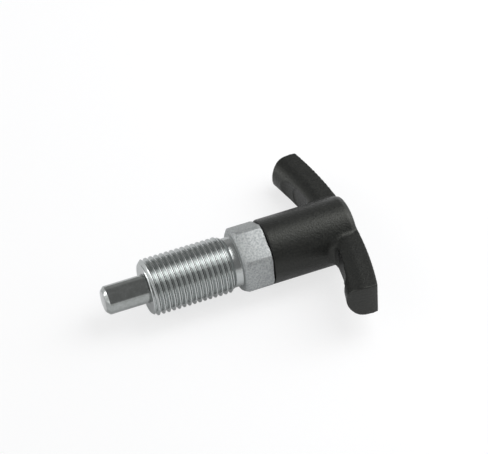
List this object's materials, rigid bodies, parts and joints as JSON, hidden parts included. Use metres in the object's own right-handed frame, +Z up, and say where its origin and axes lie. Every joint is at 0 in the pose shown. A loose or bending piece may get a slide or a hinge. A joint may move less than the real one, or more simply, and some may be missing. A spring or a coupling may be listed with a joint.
{
  "type": "indexing plunger",
  "caption": "Spring-return indexing plunger: a threaded body with a hexagon guides a locking pin that a T-shaped handle draws back.",
  "frame": {"origin": "on the axis of the pin, in the plane of the hexagon's front face, which seats on the panel", "axes": "+X along the axis towards the nose of the pin, +Z up as the plunger lies on a table, on its hub and the tip of one arm. The arms are 8.2 degrees from Y, with the +Y arm up"},
  "size_m": [0.0718, 0.0596, 0.0186],
  "materials": {
    "plated_steel": "zinc plated, hexagon dull and mottled from tumbling, thread brighter",
    "bush_steel": "turned",
    "spring_wire": "drawn wire",
    "ground_steel": "ground, bright",
    "insert_brass": "turned",
    "black_plastic": "moulded with a fine matt texture"
  },
  "bodies": {
    "guide": {"guide_body": "plated_steel", "rear_bush": "bush_steel"},
    "spring": {"plunger_spring": "spring_wire"},
    "plunger": {"plunger_pin": "ground_steel", "handle_insert": "insert_brass", "t_handle": "black_plastic"}
  },
  "joints": [
    {"name": "handle_turn", "type": "hinge", "parent": "guide", "child": "spring", "pos_m": [0, 0, 0], "axis": [1, 0, 0], "continuous": true},
    {"name": "plunger_pull", "type": "slide", "parent": "spring", "child": "plunger", "axis": [-1, 0, 0], "range_m": [0, 0.012], "stiffness_N_per_m": 1300, "springref_m": -0.006, "deforming": ["plunger_spring"]}
  ]
}
